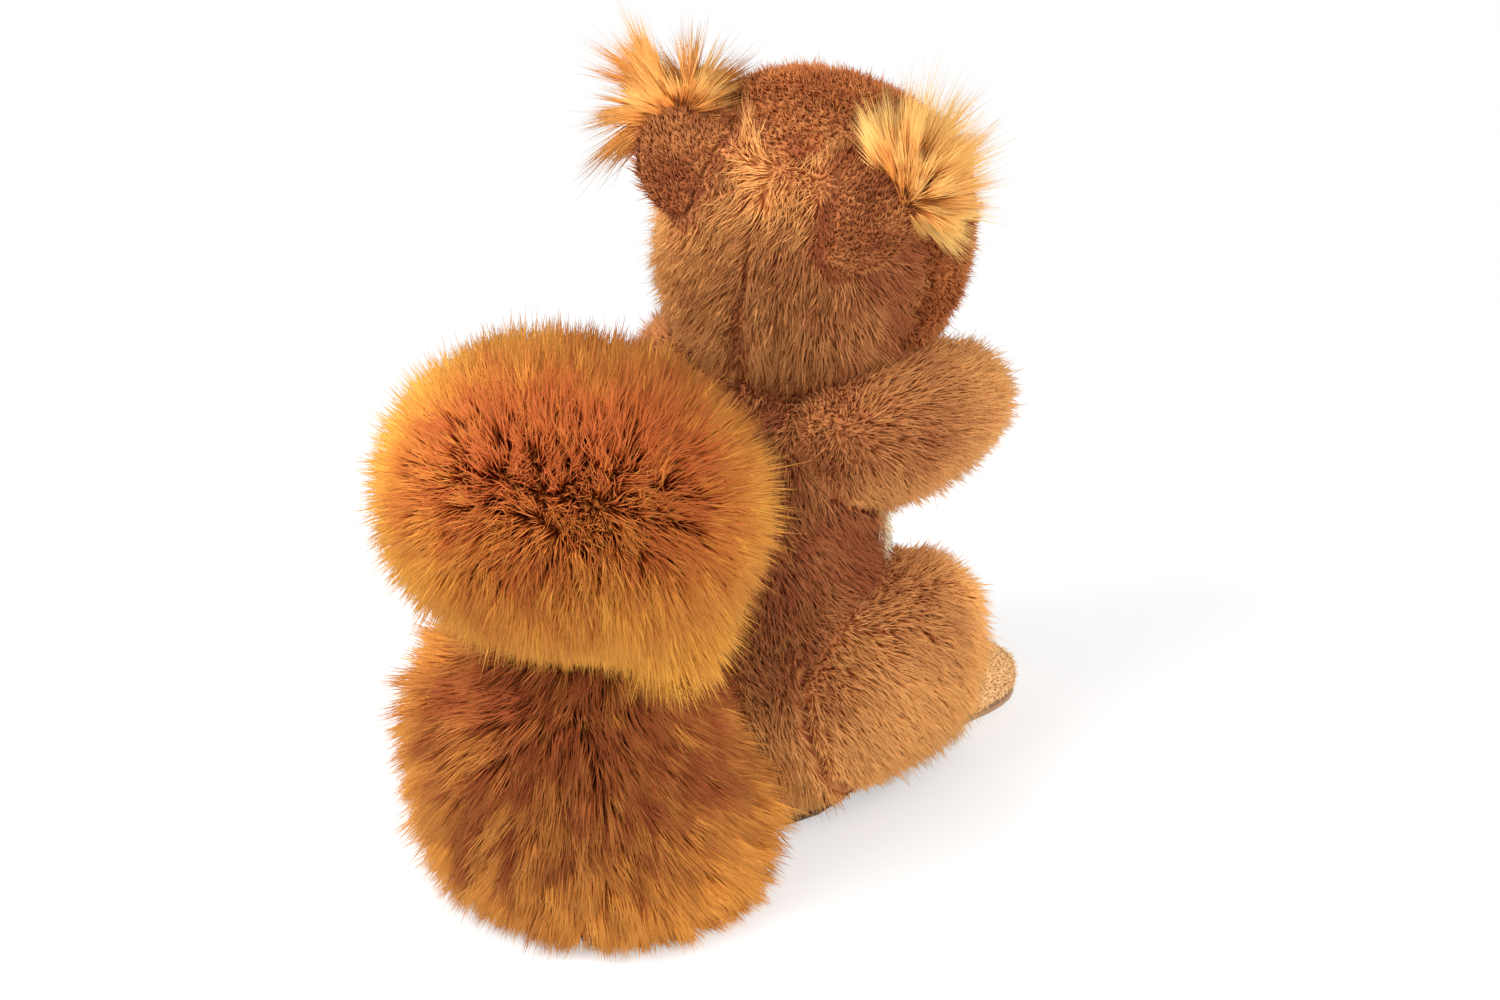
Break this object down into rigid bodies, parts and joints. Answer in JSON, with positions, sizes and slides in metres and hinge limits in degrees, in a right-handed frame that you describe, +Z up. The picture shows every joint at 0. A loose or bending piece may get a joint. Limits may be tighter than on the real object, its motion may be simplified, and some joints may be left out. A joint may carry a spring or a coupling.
{
  "type": "plush squirrel",
  "caption": "Seated plush squirrel with a large curled fluffy tail, tufted ears, short arms held forward and flat-soled feet; stuffed with fibre.",
  "frame": {"origin": "on the floor, at the middle of the flat base panel that the toy sits on", "axes": "+Z up; the squirrel faces -Y and its tail is towards +Y; its left side is towards +X"},
  "size_m": [0.1075, 0.1914, 0.1776],
  "materials": {
    "back_plush": "medium pile plush, brown at the roots and golden at the tips",
    "short_plush": "short dense pile, reddish brown",
    "tail_plush": "long pile plush, copper with golden tips",
    "tuft_plush": "long ginger locks",
    "belly_plush": "medium pile plush, cream",
    "foot_velour": "velour, tan",
    "base_cloth": "close woven cloth, dark brown",
    "black_plastic": "polished black",
    "clear_plastic": "natural moulded plastic"
  },
  "bodies": {
    "root": {"torso": "back_plush", "belly_panel": "belly_plush", "base_panel": "base_cloth", "head": "back_plush", "face_panel": "short_plush", "ear_left": "short_plush", "ear_right": "short_plush", "ear_tuft_left": "tuft_plush", "ear_tuft_right": "tuft_plush", "arm_left": "back_plush", "arm_right": "back_plush", "thigh_left": "back_plush", "thigh_right": "back_plush", "foot_left": "foot_velour", "foot_right": "foot_velour", "sole_left": "foot_velour", "sole_right": "foot_velour", "tail": "tail_plush", "eye_left": "black_plastic", "eye_right": "black_plastic", "nose": "black_plastic", "eye_left_washer": "clear_plastic", "eye_right_washer": "clear_plastic", "nose_washer": "clear_plastic"}
  },
  "joints": []
}
